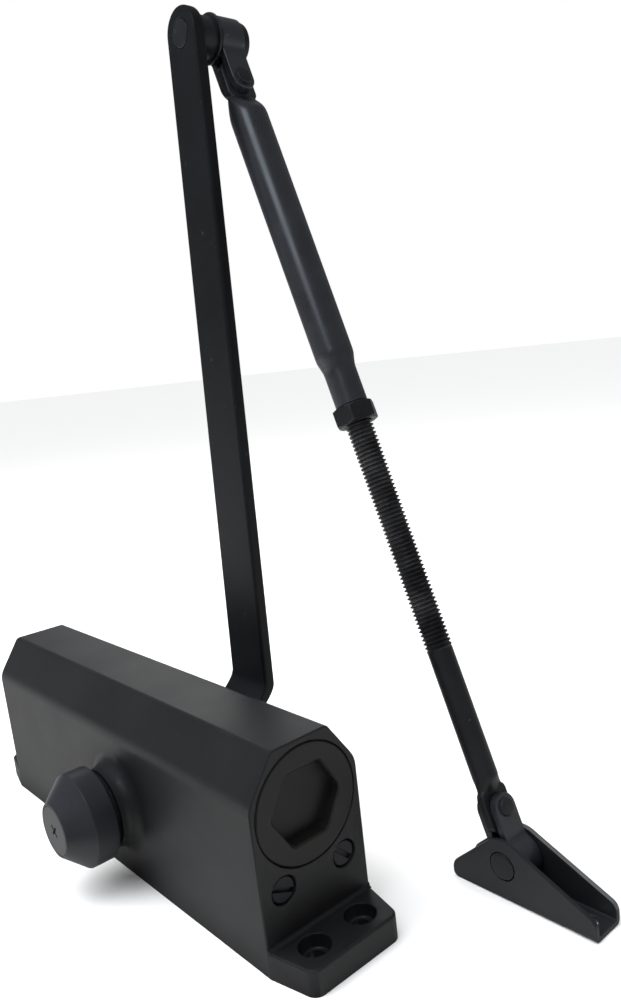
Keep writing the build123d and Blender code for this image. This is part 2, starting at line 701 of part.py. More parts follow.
# ---------------------------------------------------------------- shoe
def flange_outline():
    """Side of the shoe seen along Y, about the rivet, from the base up."""
    points = [(-shoe_left, 0), (-shoe_left, shoe_left_height)]
    reach = math.hypot(shoe_left, shoe_left_height - shoe_z)
    toward = math.atan2(shoe_left_height - shoe_z, -shoe_left) - math.acos(shoe_hump_radius / reach)
    points.append((shoe_hump_radius * math.cos(toward), shoe_z + shoe_hump_radius * math.sin(toward)))
    reach = math.hypot(shoe_right, shoe_right_height - shoe_z)
    away = math.atan2(shoe_right_height - shoe_z, shoe_right) + math.acos(shoe_hump_radius / reach)
    points.append((shoe_hump_radius * math.cos(away), shoe_z + shoe_hump_radius * math.sin(away)))
    points.append((shoe_right, shoe_right_height))
    points.append((shoe_right, 0))
    outline = make_face(Polyline(*points, close=True)) + Pos(0, shoe_z) * Circle(shoe_hump_radius)
    corners = [v for v in outline.vertices() if abs(v.X) > min(shoe_left, shoe_right) - 0.01 and v.Y > 1]
    outline = fillet(corners, shoe_corner)
    heel = [v for v in outline.vertices() if v.X < 1 - shoe_left and v.Y < 0.01]
    return fillet(heel, shoe_corner)


def shoe():
    side = Plane(origin=(shoe_x, forearm_y, 0), x_dir=(1, 0, 0), z_dir=(0, -1, 0))
    solid = extrude(side * flange_outline(), amount=shoe_width / 2, both=True)
    inner = shoe_width / 2 - shoe_plate
    solid -= block(shoe_x - 60, shoe_x + 60, forearm_y - inner, forearm_y + inner, shoe_plate, 60)
    solid -= rod_y(rivet_end_radius + rivet_hole_gap, forearm_y - shoe_width, forearm_y + shoe_width,
                   shoe_x, shoe_z)
    for x in shoe_holes_at:
        solid -= Pos(shoe_x + x, forearm_y, 0) * Cylinder(shoe_hole_radius, 10)
    return solid


def shoe_rivet():
    half = shoe_width / 2
    inner = half - shoe_plate
    reach = half + shoe_rivet_proud
    solid = rod_y(rivet_end_radius, forearm_y - reach, forearm_y + reach, shoe_x, shoe_z)
    return solid + rod_y(rivet_radius, forearm_y - inner + running_gap, forearm_y + inner - running_gap,
                         shoe_x, shoe_z)


# ---------------------------------------------------------------- every piece in its own node
nodes["housing"] = housing()
for name, sign in (("right", 1), ("left", -1)):
    nodes["end_plug_" + name] = end_plug(sign)
    nodes["plug_o_ring_" + name] = plug_ring(sign)
for name, sign in (("arm_side", 1), ("cap_side", -1)):
    nodes["bearing_" + name] = bearing(sign)
    nodes["shaft_seal_" + name] = shaft_seal(sign)
    nodes["gland_nut_" + name] = gland_nut(sign)
nodes["pinion_shaft"] = pinion_shaft()
nodes["pinion_cap"] = pinion_cap()
nodes["cap_screw"] = cap_screw()
nodes["main_arm"] = main_arm()
nodes["arm_washer"] = arm_washer()
nodes["arm_screw"] = arm_screw()
nodes["piston"] = piston()
nodes["ball_retainer"] = ball_retainer()
nodes["check_ball"] = check_ball()
nodes["main_spring"] = main_spring()
nodes["spring_seat"] = spring_seat()
for name, y, slot_angle in (("closing", -valve_y, -25), ("latching", valve_y, -45)):
    nodes[name + "_speed_valve"] = speed_valve(y, slot_angle)
    nodes[name + "_valve_o_ring"] = valve_ring(y)
nodes["elbow_rivet"] = elbow_rivet()
nodes["elbow_spacer"] = elbow_spacer()
nodes["elbow_washer"] = elbow_washer()
nodes["upper_knuckle"] = knuckle(forearm_frame)
nodes["upper_tilt_pin"] = tilt_pin(forearm_frame)
nodes["forearm_tube"] = forearm_tube()
nodes["lock_nut"] = lock_nut()
nodes["adjusting_rod"] = adjusting_rod()
nodes["lower_knuckle"] = knuckle(lower_frame)
nodes["lower_tilt_pin"] = tilt_pin(lower_frame)
nodes["shoe"] = shoe()
nodes["shoe_rivet"] = shoe_rivet()

os.makedirs("parts", exist_ok=True)
for name, solid in nodes.items():
    export_step(solid, "parts/" + name + ".step")
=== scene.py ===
import math

import bmesh
import bpy
from mathutils import Matrix, Vector


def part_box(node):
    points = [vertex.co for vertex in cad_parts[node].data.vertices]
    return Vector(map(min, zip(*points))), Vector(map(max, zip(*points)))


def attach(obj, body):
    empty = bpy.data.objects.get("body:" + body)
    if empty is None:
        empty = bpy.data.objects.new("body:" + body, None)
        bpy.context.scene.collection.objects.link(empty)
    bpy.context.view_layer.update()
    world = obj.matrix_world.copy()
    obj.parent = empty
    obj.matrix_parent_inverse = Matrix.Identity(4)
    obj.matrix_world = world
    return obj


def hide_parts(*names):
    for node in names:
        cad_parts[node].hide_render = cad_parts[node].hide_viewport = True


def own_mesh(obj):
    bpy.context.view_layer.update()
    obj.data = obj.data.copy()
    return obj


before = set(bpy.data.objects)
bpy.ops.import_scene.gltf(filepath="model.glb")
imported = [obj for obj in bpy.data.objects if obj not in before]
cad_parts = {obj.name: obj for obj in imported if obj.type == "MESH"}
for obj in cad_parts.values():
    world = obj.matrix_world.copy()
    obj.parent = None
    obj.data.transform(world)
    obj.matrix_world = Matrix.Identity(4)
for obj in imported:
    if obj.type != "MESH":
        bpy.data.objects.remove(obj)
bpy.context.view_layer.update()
scene = bpy.context.scene


# ---------------------------------------------------------------- studio
# A plain pale floor under the closer in a dim room with a white backdrop. Two large lights wash the
# floor from above, two soft panels give the black its sheen, and a black card in front keeps the
# shadow side of the round parts dark.
scene.view_settings.view_transform = "Standard"

# The camera's place and its two directions.
eye = Vector((0.293239, -0.143134, 0.182565))
looking = Vector((-0.737302, 0.648911, -0.187884))
upward = Vector((-0.071210, 0.201915, 0.976811))

camera_lens = bpy.data.cameras.new("camera")
camera_lens.sensor_width = 36.0
camera_lens.lens = 30.407
camera_lens.shift_x = -0.0368
camera_lens.shift_y = 0.0206
camera_lens.clip_start = 0.01
camera = bpy.data.objects.new("camera", camera_lens)
camera.matrix_world = Matrix.Translation(eye) @ Matrix(
    (looking.cross(upward), upward, -looking)).transposed().to_4x4()
scene.collection.objects.link(camera)
scene.camera = camera

backdrop_white = 1.25
room_light = 0.18
surround = bpy.data.worlds.new("surround")
surround.use_nodes = True
room = surround.node_tree
room.nodes["Background"].inputs["Color"].default_value = (0.96, 0.98, 1.0, 1.0)
room.nodes["Background"].inputs["Strength"].default_value = room_light
backdrop = room.nodes.new("ShaderNodeBackground")
backdrop.inputs["Strength"].default_value = backdrop_white
seen = room.nodes.new("ShaderNodeMixShader")
room.links.new(room.nodes.new("ShaderNodeLightPath").outputs["Is Camera Ray"], seen.inputs[0])
room.links.new(room.nodes["Background"].outputs[0], seen.inputs[1])
room.links.new(backdrop.outputs[0], seen.inputs[2])
room.links.new(seen.outputs[0], room.nodes["World Output"].inputs["Surface"])
scene.world = surround


def soft_light(name, place, target, size, power, mirrored=True, colour=(1.0, 1.0, 1.0)):
    """Rectangular light aimed at a target, seen in the gloss or hidden from it."""
    panel = bpy.data.lights.new(name, "AREA")
    panel.shape = "RECTANGLE"
    panel.size = size[0]
    panel.size_y = size[1]
    panel.energy = power
    panel.color = colour
    lamp = bpy.data.objects.new(name, panel)
    lamp.location = place
    lamp.rotation_euler = (Vector(target) - Vector(place)).to_track_quat("-Z", "Y").to_euler()
    lamp.visible_glossy = mirrored
    scene.collection.objects.link(lamp)


soft_light("floor_wash", (-0.5, -0.6, 0.9), (-0.05, 0.0, 0.0), (0.9, 0.9), 16.0, mirrored=False)
soft_light("sheen_panel", (-1.2, 0.8, 0.72), (0.0, 0.0, 0.07), (0.7, 0.5), 1.6)
soft_light("front_panel", (0.25, -0.55, 0.75), (0.05, 0.05, 0.18), (0.35, 0.35), 1.3,
           colour=(0.80, 0.88, 1.0))
overhead = bpy.data.lights.new("overhead", "SUN")
overhead.energy = 3.0
overhead.angle = math.radians(50)
overhead_lamp = bpy.data.objects.new("overhead", overhead)
overhead_lamp.visible_glossy = False
scene.collection.objects.link(overhead_lamp)

floor_half_size = 20.0
floor_tone_seen = 0.88
floor_tone_in_gloss = 0.36
floor_mesh = bmesh.new()
bmesh.ops.create_grid(floor_mesh, x_segments=8, y_segments=8, size=floor_half_size)
floor_data = bpy.data.meshes.new("floor")
floor_mesh.to_mesh(floor_data)
floor_mesh.free()
floor = bpy.data.objects.new("floor", floor_data)
scene.collection.objects.link(floor)
floor_finish = bpy.data.materials.new("pale_floor")
floor_finish.use_nodes = True
floor_tree = floor_finish.node_tree
floor_tree.nodes["Principled BSDF"].inputs["Roughness"].default_value = 0.8
floor_tone = floor_tree.nodes.new("ShaderNodeMix")
floor_tone.data_type = "RGBA"
floor_tone.inputs[6].default_value = (*[floor_tone_seen] * 3, 1.0)
floor_tone.inputs[7].default_value = (*[floor_tone_in_gloss] * 3, 1.0)
floor_tree.links.new(floor_tree.nodes.new("ShaderNodeLightPath").outputs["Is Glossy Ray"],
                     floor_tone.inputs["Factor"])
floor_tree.links.new(floor_tone.outputs[2], floor_tree.nodes["Principled BSDF"].inputs["Base Color"])
floor_data.materials.append(floor_finish)

card_half_size = 0.16
card_place = (0.19, -0.24, 0.001)
card_mesh = bmesh.new()
bmesh.ops.create_grid(card_mesh, x_segments=1, y_segments=1, size=card_half_size)
bmesh.ops.translate(card_mesh, verts=card_mesh.verts, vec=card_place)
card_data = bpy.data.meshes.new("black_card")
card_mesh.to_mesh(card_data)
card_mesh.free()
card = bpy.data.objects.new("black_card", card_data)
scene.collection.objects.link(card)
card_finish = bpy.data.materials.new("card_black")
card_finish.use_nodes = True
card_shader = card_finish.node_tree.nodes["Principled BSDF"]
card_shader.inputs["Base Color"].default_value = (0.02, 0.02, 0.02, 1.0)
card_shader.inputs["Roughness"].default_value = 1.0
card_data.materials.append(card_finish)
card.visible_camera = False
card.visible_diffuse = False
card.visible_shadow = False


# ---------------------------------------------------------------- housing
# One aluminium casting with a foot at each end, drilled and counterbored for the fixing screws,
# bored for the piston, and sprayed satin black. Its rims are broken and its corners cast round.
mm = 0.001
rubbed_width = 0.5 * mm
speck_scale = 410.0


def add_node(tree, kind, **values):
    """Shader node of a kind, with plain input values given by name."""
    made = tree.nodes.new("ShaderNode" + kind)
    for name, value in values.items():
        made.inputs[name.replace("_", " ")].default_value = value
    return made


def ramp(tree, source, low, high, dark, light):
    """Maps a noise value between low and high to the range dark to light."""
    made = add_node(tree, "MapRange", From_Min=low, From_Max=high, To_Min=dark, To_Max=light)
    tree.links.new(source, made.inputs["Value"])
    return made.outputs["Result"]


def combine(tree, operation, first, second):
    """Joins two shader values by a Math operation."""
    made = tree.nodes.new("ShaderNodeMath")
    made.operation = operation
    tree.links.new(first, made.inputs[0])
    tree.links.new(second, made.inputs[1])
    return made.outputs["Value"]


def finish(name, colour, worn, roughness, grain, depth,
           metallic=0.0, wear=0.5, cloud=24.0, shine=0.5):
    """Metal or plastic finish with a fine grain, cloudy gloss, rubbed edges and a few specks."""
    material = bpy.data.materials.new(name)
    material.use_nodes = True
    tree = material.node_tree
    shader = tree.nodes["Principled BSDF"]
    shader.inputs["Metallic"].default_value = metallic
    shader.inputs["Specular IOR Level"].default_value = shine
    place = add_node(tree, "TexCoord").outputs["Object"]
    clouds = add_node(tree, "TexNoise", Scale=cloud, Detail=5.0, Roughness=0.6)
    fine = add_node(tree, "TexNoise", Scale=grain, Detail=3.0, Roughness=0.55)
    dots = add_node(tree, "TexNoise", Scale=speck_scale, Detail=1.0)
    for pattern in (clouds, fine, dots):
        tree.links.new(place, pattern.inputs["Vector"])
    gloss = ramp(tree, clouds.outputs["Fac"], 0.3, 0.7, roughness[0], roughness[1])
    tree.links.new(gloss, shader.inputs["Roughness"])
    relief = add_node(tree, "Bump", Strength=1.0, Distance=depth)
    tree.links.new(fine.outputs["Fac"], relief.inputs["Height"])
    tree.links.new(relief.outputs["Normal"], shader.inputs["Normal"])

    rounded = tree.nodes.new("ShaderNodeBevel")
    rounded.samples = 4
    rounded.inputs["Radius"].default_value = rubbed_width
    facing = tree.nodes.new("ShaderNodeVectorMath")
    facing.operation = "DOT_PRODUCT"
    tree.links.new(rounded.outputs["Normal"], facing.inputs[0])
    tree.links.new(add_node(tree, "NewGeometry").outputs["Normal"], facing.inputs[1])
    edges = ramp(tree, facing.outputs["Value"], 0.98, 0.80, 0.0, wear)
    patches = ramp(tree, clouds.outputs["Fac"], 0.42, 0.66, 0.0, 1.0)
    rubbed = combine(tree, "MULTIPLY", edges, patches)
    specks = ramp(tree, dots.outputs["Fac"], 0.76, 0.79, 0.0, 0.35 * wear)
    marks = combine(tree, "MAXIMUM", rubbed, specks)

    shade = tree.nodes.new("ShaderNodeMix")
    shade.data_type = "RGBA"
    shade.inputs[6].default_value = (*[0.82 * c for c in colour], 1.0)
    shade.inputs[7].default_value = (*[1.2 * c for c in colour], 1.0)
    tree.links.new(ramp(tree, clouds.outputs["Fac"], 0.35, 0.65, 0.0, 1.0), shade.inputs["Factor"])
    blend = tree.nodes.new("ShaderNodeMix")
    blend.data_type = "RGBA"
    blend.inputs[7].default_value = (*worn, 1.0)
    tree.links.new(shade.outputs[2], blend.inputs[6])
    tree.links.new(marks, blend.inputs["Factor"])
    tree.links.new(blend.outputs[2], shader.inputs["Base Color"])
    return material


def add_piece(name, bm):
    """New object holding a finished bmesh, with its faces turned outwards."""
    bmesh.ops.remove_doubles(bm, verts=bm.verts, dist=1e-6)
    bmesh.ops.recalc_face_normals(bm, faces=bm.faces)
    mesh = bpy.data.meshes.new(name)
    bm.to_mesh(mesh)
    bm.free()
    piece = bpy.data.objects.new(name, mesh)
    scene.collection.objects.link(piece)
    return piece


def dress(piece, body, slot, material, *nodes, sharp=28.0):
    """Shades a piece, gives it its finish and body, and lets it stand for its CAD nodes."""
    piece.data.shade_smooth()
    piece.data.set_sharp_from_angle(angle=math.radians(sharp))
    weighted = piece.modifiers.new("face_normals", "WEIGHTED_NORMAL")
    weighted.keep_sharp = True
    piece.data.materials.clear()
    piece.data.materials.append(material)
    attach(piece, body)
    if nodes:
        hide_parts(*nodes)


def merged_copy(name, node):
    """Copy of a CAD node's mesh with its loose triangles joined."""
    bm = bmesh.new()
    bm.from_mesh(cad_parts[node].data)
    bmesh.ops.remove_doubles(bm, verts=bm.verts, dist=1e-6)
    bmesh.ops.dissolve_degenerate(bm, edges=bm.edges, dist=1e-7)
    mesh = bpy.data.meshes.new(name)
    bm.to_mesh(mesh)
    bm.free()
    copy = bpy.data.objects.new(name, mesh)
    scene.collection.objects.link(copy)
    return copy


cast_paint = finish("satin_black_paint", (0.0080, 0.0083, 0.0092), (0.09, 0.09, 0.095),
                    (0.40, 0.50), 1500.0, 0.000012, wear=0.35)
# Painted shade: on the housing's sides, ambient occlusion from a boss or the cap lowers the paint's gloss,
# so its reflections go dark where shade falls.
paint_tree = cast_paint.node_tree
painted_shade_reach = 18.0 * mm
painted_shade_shine = 0.08
open_shine = 0.5
# Ambient occlusion marks where the painted shade falls.
painted_shade_occlusion = paint_tree.nodes.new("ShaderNodeAmbientOcclusion")
painted_shade_occlusion.samples = 8
painted_shade_occlusion.inputs["Distance"].default_value = painted_shade_reach
facing_parts = add_node(paint_tree, "SeparateXYZ")
paint_tree.links.new(add_node(paint_tree, "NewGeometry").outputs["True Normal"], facing_parts.inputs[0])
sideways = paint_tree.nodes.new("ShaderNodeMath")
sideways.operation = "ABSOLUTE"
paint_tree.links.new(facing_parts.outputs["Y"], sideways.inputs[0])
not_a_side = ramp(paint_tree, sideways.outputs["Value"], 0.3, 0.6, 1.0, 0.0)
outside_painted_shade = combine(paint_tree, "MAXIMUM", not_a_side, painted_shade_occlusion.outputs["AO"])
# Occluded sides drop to the painted-shade gloss, which darkens them.
paint_tree.links.new(ramp(paint_tree, outside_painted_shade, 0.35, 0.92, painted_shade_shine, open_shine),
                     paint_tree.nodes["Principled BSDF"].inputs["Specular IOR Level"])
housing = merged_copy("cast_housing", "housing")
dress(housing, "closer_body", "body_paint", cast_paint, "housing", sharp=24.0)


# ---------------------------------------------------------------- end plugs
# A steel plug screwed into each end of the piston bore, with a hexagon socket for a key.
# Each carries a rubber ring near its inner end, and its face is flush with the casting.
def turned(profile, steps=96, closed=True):
    """Solid of revolution about local Z from (radius, height) points, in millimetres."""
    bm = bmesh.new()
    points = [bm.verts.new((radius, 0.0, height)) for radius, height in profile]
    pairs = list(zip(points, points[1:]))
    if closed:
        pairs.append((points[-1], points[0]))
    edges = [bm.edges.new(pair) for pair in pairs]
    bmesh.ops.spin(bm, geom=points + edges, cent=(0, 0, 0), axis=(0, 0, 1), dvec=(0, 0, 0),
                   angle=2 * math.pi, steps=steps, use_merge=True, use_duplicate=False)
    bmesh.ops.remove_doubles(bm, verts=bm.verts, dist=1e-5)
    bmesh.ops.dissolve_degenerate(bm, edges=bm.edges, dist=1e-6)
    return bm


def draw_out(bm, face, height):
    """Extrudes a face along local Z and gives back its new corners."""
    made = bmesh.ops.extrude_face_region(bm, geom=[face])
    corners = [v for v in made["geom"] if isinstance(v, bmesh.types.BMVert)]
    bmesh.ops.translate(bm, verts=corners, vec=(0, 0, height))
    return corners


def prism(points, height):
    """Upright prism over a flat outline, in millimetres, from local Z = 0."""
    bm = bmesh.new()
    draw_out(bm, bm.faces.new([bm.verts.new((x, y, 0.0)) for x, y in points]), height)
    return bm


def turn(bm, angle, axis="Z"):
    """Turns a whole bmesh about a local axis, by an angle in radians."""
    bmesh.ops.rotate(bm, verts=bm.verts, cent=(0, 0, 0), matrix=Matrix.Rotation(angle, 3, axis))


def shift(bm, x=0.0, y=0.0, z=0.0):
    """Moves a whole bmesh."""
    bmesh.ops.translate(bm, verts=bm.verts, vec=(x, y, z))


def round_edges(bm, edges, width, segments):
    """Rounds chosen edges of a bmesh."""
    bmesh.ops.bevel(bm, geom=edges, offset=width, segments=segments, profile=0.5,
                    affect="EDGES", material=-1)


def placed(bm, origin, x_axis, z_axis):
    """Carries a bmesh in millimetres to its place in the frame."""
    x_axis = Vector(x_axis).normalized()
    z_axis = Vector(z_axis).normalized()
    axes = Matrix((x_axis, z_axis.cross(x_axis), z_axis)).transposed().to_4x4()
    bmesh.ops.transform(bm, verts=bm.verts,
                        matrix=Matrix.Translation(origin) @ axes @ Matrix.Scale(mm, 4))
    return bm


def settle(piece):
    """Applies a piece's modifiers to its mesh."""
    bpy.context.view_layer.update()
    finished = piece.evaluated_get(bpy.context.evaluated_depsgraph_get())
    mesh = bpy.data.meshes.new_from_object(finished)
    piece.modifiers.clear()
    piece.data = mesh
    return piece


def carve(piece, tool, operation="DIFFERENCE"):
    """Cuts, joins or trims a piece with a tool shape, which is used up."""
    cutter = add_piece("tool", tool)
    cut = piece.modifiers.new("cut", "BOOLEAN")
    cut.operation = operation
    cut.solver = "EXACT"
    cut.object = cutter
    settle(piece)
    bpy.data.objects.remove(cutter)
    return piece


def soften(piece, width, segments=3, clamp=True):
    """Rounds a piece's sharp edges by a width in millimetres."""
    edge = piece.modifiers.new("edges", "BEVEL")
    edge.width = width * mm
    edge.segments = segments
    edge.limit_method = "ANGLE"
    edge.angle_limit = math.radians(32)
    edge.use_clamp_overlap = clamp
    return settle(piece)


plug_radius = 19.6
plug_face_break = 0.45
plug_end_break = 0.4
ring_groove_at = 3.2
ring_groove_half_width = 1.4
ring_groove_floor = plug_radius - 2.4
hexagon_corner = 24.0 / math.sqrt(3)
hexagon_depth = 5.0
hexagon_corner_round = 1.3
hexagon_mouth = 0.55
plug_steel = finish("plug_black_steel", (0.014, 0.0128, 0.012), (0.10, 0.095, 0.09),
                    (0.36, 0.48), 1200.0, 0.00001, metallic=0.25, wear=0.5)

for side, sign in (("right", 1.0), ("left", -1.0)):
    low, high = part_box("end_plug_" + side)
    face_x = high.x if sign > 0 else low.x
    length = (high.x - low.x) / mm
    groove = length - ring_groove_at
    groove_inner = -groove - ring_groove_half_width
    groove_outer = -groove + ring_groove_half_width
    body = turned([(0, -length), (plug_radius - plug_end_break, -length),
                   (plug_radius, -length + plug_end_break), (plug_radius, groove_inner),
                   (ring_groove_floor, groove_inner), (ring_groove_floor, groove_outer),
                   (plug_radius, groove_outer), (plug_radius, -plug_face_break),
                   (plug_radius - plug_face_break, 0), (0, 0)], steps=128, closed=False)
    axis = ((face_x, 0.0, (low.z + high.z) / 2), (0, 1, 0), (sign, 0, 0))
    plug = add_piece(side + "_end_plug", placed(body, *axis))
    socket = bmesh.new()
    bmesh.ops.create_circle(socket, cap_ends=True, segments=6, radius=hexagon_corner)
    turn(socket, math.pi / 2)
    shift(socket, z=-hexagon_depth)
    socket.faces.ensure_lookup_table()
    draw_out(socket, socket.faces[0], hexagon_depth - hexagon_mouth)
    upright = [e for e in socket.edges if abs(e.verts[0].co.z - e.verts[1].co.z) > 1]
    round_edges(socket, upright, hexagon_corner_round, 4)
    lid = max(socket.faces, key=lambda face: face.calc_center_median().z)
    rim = draw_out(socket, lid, 2 * hexagon_mouth)
    spread = 1 + 2 * hexagon_mouth / (hexagon_corner * math.cos(math.pi / 6))
    bmesh.ops.scale(socket, verts=rim, vec=(spread, spread, 1))
    bmesh.ops.delete(socket, geom=[lid], context="FACES_ONLY")
    carve(plug, placed(socket, *axis))
    dress(plug, "closer_body", "plug_steel", plug_steel, "end_plug_" + side)


# ---------------------------------------------------------------- works inside the housing
# Ground steel pinion, piston and spring, bronze bearings and rubber rings, all sealed in oil.
# Each keeps its drawn shape and gets the finish of its metal or rubber.
bright_steel = finish("ground_steel", (0.46, 0.46, 0.47), (0.6, 0.6, 0.6),
                      (0.22, 0.36), 2600.0, 0.000004, metallic=1.0, wear=0.2)
spring_steel = finish("spring_steel", (0.10, 0.10, 0.11), (0.3, 0.3, 0.3),
                      (0.30, 0.42), 1800.0, 0.000008, metallic=1.0, wear=0.3)
bronze = finish("bearing_bronze", (0.50, 0.30, 0.12), (0.62, 0.42, 0.2),
                (0.28, 0.42), 2200.0, 0.000006, metallic=1.0, wear=0.3)
rubber = finish("seal_rubber", (0.012, 0.012, 0.012), (0.04, 0.04, 0.04),
                (0.55, 0.7), 2400.0, 0.00001, wear=0.1)
inside = {
    "pinion_shaft": bright_steel, "piston": bright_steel, "ball_retainer": bright_steel,
    "check_ball": bright_steel, "spring_seat": bright_steel,
    "bearing_arm_side": bronze, "bearing_cap_side": bronze, "shaft_seal_arm_side": rubber,
    "shaft_seal_cap_side": rubber, "plug_o_ring_right": rubber, "plug_o_ring_left": rubber,
    "closing_valve_o_ring": rubber, "latching_valve_o_ring": rubber,
}
for node, material in inside.items():
    cad_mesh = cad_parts[node]
    if not cad_mesh.material_slots:
        cad_mesh.data.materials.append(material)
    for holder in cad_mesh.material_slots:
        holder.material = material

# The main spring is a smoothed copy of its CAD node on a mesh of its own; in the closer the piston presses
# it together as the pinion turns.
spring = merged_copy("coiled_main_spring", "main_spring")
dress(spring, "closer_body", "spring_steel", spring_steel, "main_spring", sharp=60.0)
settle(spring)
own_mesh(spring)


# ---------------------------------------------------------------- gland nuts
# A ring nut screwed into each boss holds the shaft seal. Four notches take a pin spanner,
# and the black finish matches the casting.
dark_steel = finish("black_steel", (0.0135, 0.0142, 0.0165), (0.16, 0.16, 0.17),
                    (0.30, 0.44), 1700.0, 0.00001, metallic=0.35, wear=0.6, cloud=60.0)
for side in ("arm_side", "cap_side"):
    nut = merged_copy(side + "_gland_nut", "gland_nut_" + side)
    dress(nut, "closer_body", "dark_steel", dark_steel, "gland_nut_" + side)


# ---------------------------------------------------------------- regulating valves
# Two small turned steel screws with a driver slot, set a little below the end face. One sets the
# closing speed and one the latching speed.
valve_radius = 4.3
valve_break = 0.35
valve_head_length = 6.0
valve_shoulder_break = 0.3
valve_groove_floor = valve_radius - 1.6
valve_groove_near = 4.0
valve_groove_far = 2.0
needle_radius = 2.2
needle_point_radius = 1.3
needle_point_length = 2.5
slot_width = 1.5
slot_depth = 1.3
slot_flare = 1.35


def block(size_x, size_y, size_z):
    """Rectangular block about the origin."""
    bm = bmesh.new()
    bmesh.ops.create_cube(bm, size=1.0)
    bmesh.ops.scale(bm, verts=bm.verts, vec=(size_x, size_y, size_z))
    return bm


def flared_blade(size_x, size_y, size_z, flare_x, flare_y, angle):
    """Cutter for a driver slot, wider at its mouth and turned about local Z, angle in degrees."""
    bm = block(size_x, size_y, size_z)
    bmesh.ops.scale(bm, verts=[v for v in bm.verts if v.co.z > 0], vec=(flare_x, flare_y, 1))
    turn(bm, math.radians(angle))
    return bm


for name, body, slot_turn in (("closing", "closing_valve", 25.0), ("latching", "latching_valve", 45.0)):
    low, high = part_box(name + "_speed_valve")
    length = (high.x - low.x) / mm
    shoulder = length - valve_head_length
    stem = turned([(0, -length), (needle_point_radius, -length),
                   (needle_radius, -length + needle_point_length), (needle_radius, -shoulder),
                   (valve_radius - valve_shoulder_break, -shoulder),
                   (valve_radius, -shoulder + valve_shoulder_break),
                   (valve_radius, -shoulder + valve_groove_far),
                   (valve_groove_floor, -shoulder + valve_groove_far),
                   (valve_groove_floor, -shoulder + valve_groove_near),
                   (valve_radius, -shoulder + valve_groove_near),
                   (valve_radius, -valve_break), (valve_radius - valve_break, 0), (0, 0)],
                  steps=64, closed=False)
    axis = ((high.x, (low.y + high.y) / 2, (low.z + high.z) / 2), (0, 1, 0), (1, 0, 0))
    valve = add_piece(name + "_valve_screw", placed(stem, *axis))
    blade = flared_blade(3 * valve_radius, slot_width, 2 * slot_depth, 1, slot_flare, -slot_turn)
    carve(valve, placed(blade, *axis))
    dress(valve, body, "dark_steel", dark_steel, name + "_speed_valve")


# ---------------------------------------------------------------- cap over the pinion's idle end
# A moulded black cap, a short band that tapers to a flat face. It plugs onto the shaft's square
# end, and one wide cross-slotted screw with a flat satin head holds it.
pinion_axis = sum(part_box("pinion_cap"), Vector()) / 2
cap_back = -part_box("pinion_cap")[1].y / mm
cap_face = -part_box("pinion_cap")[0].y / mm
cap_band = cap_back + 8.1
cap_radius = 17.6
cap_face_radius = 9.9
cap_wall = 1.8
crown_thick = 5.6
crown_edge_radius = 10.8
crown_edge_thick = 3.0
hub_bore_radius = 8.2
hub_radius = 9.4
hub_end = cap_back + 1.7
screw_head_radius = 9.2
head_thick = 1.6
head_seat_radius = screw_head_radius + 0.12
screw_hole_radius = 3.1
screw_radius = 2.9
screw_length = 18.6
cross_length = 4.6
cross_width = 1.0
cross_depth = 1.3
toward_cap = ((pinion_axis.x, 0.0, pinion_axis.z), (1, 0, 0), (0, -1, 0))
cap_plastic = finish("moulded_black", (0.0125, 0.0138, 0.017), (0.07, 0.07, 0.075),
                     (0.34, 0.42), 900.0, 0.000016, wear=0.35)
cap_steel = finish("satin_black_screw", (0.055, 0.055, 0.057), (0.16, 0.16, 0.165),
                   (0.40, 0.50), 1500.0, 0.00001, metallic=0.4, wear=0.4)

shell = turned([(cap_radius, cap_back), (cap_radius, cap_band), (cap_face_radius, cap_face),
                (head_seat_radius, cap_face), (head_seat_radius, cap_face - head_thick),
                (screw_hole_radius, cap_face - head_thick), (screw_hole_radius, cap_face - crown_thick),
                (hub_bore_radius, cap_face - crown_thick), (hub_bore_radius, hub_end),
                (hub_radius, hub_end), (hub_radius, cap_face - crown_edge_thick),
                (crown_edge_radius, cap_face - crown_edge_thick),
                (cap_radius - cap_wall, cap_band), (cap_radius - cap_wall, cap_back)], steps=128)
cap = add_piece("pinion_end_cap", placed(shell, *toward_cap))
soften(cap, 0.35)
dress(cap, "spindle_and_arm", "cap_plastic", cap_plastic, "pinion_cap")

head = turned([(0, cap_face), (screw_head_radius, cap_face), (screw_head_radius, cap_face - head_thick),
               (screw_radius, cap_face - head_thick), (screw_radius, cap_face - screw_length),
               (0, cap_face - screw_length)], closed=False)
screw = add_piece("cap_face_screw", placed(head, *toward_cap))
soften(screw, 0.25)
for blade_angle in (45.0, 135.0):
    blade = flared_blade(cross_length, cross_width, 2 * cross_depth, 1.24, 1.4, blade_angle)
    shift(blade, z=cap_face)
    carve(screw, placed(blade, *toward_cap))
dress(screw, "spindle_and_arm", "dark_steel", cap_steel, "cap_screw")


# ---------------------------------------------------------------- main arm
# One flat steel bar, cranked over the edge of the housing, tapering to a round tip. It has a
# square hole that fits the shaft, well rounded edges, and a black stoved finish.
elbow_axis = sum(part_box("elbow_rivet"), Vector()) / 2
arm_way = Vector((elbow_axis.x - pinion_axis.x, 0.0, elbow_axis.z - pinion_axis.z))
arm_length = arm_way.length / mm
arm_low, arm_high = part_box("main_arm")
arm_thick = 4.9
arm_lift = (arm_high.y - arm_low.y) / mm - arm_thick
arm_back = arm_high.y / mm
root_half_width = 12.3
foot_radius = 13.5
tip_radius = 9.1
crank_start = 10.5
crank_end = 27.5
crank_offset = 2.0
square_size = 11.26
arm_edge_round = 1.25
rivet_hole_radius = 4.75
rivet_hole_mouth_radius = 5.2
rivet_hole_mouth_depth = 0.5
arm_paint = finish("stoved_black_arm", (0.0052, 0.0056, 0.0068), (0.10, 0.10, 0.105),
                   (0.38, 0.47), 1300.0, 0.00001, wear=0.5, cloud=30.0, shine=0.25)


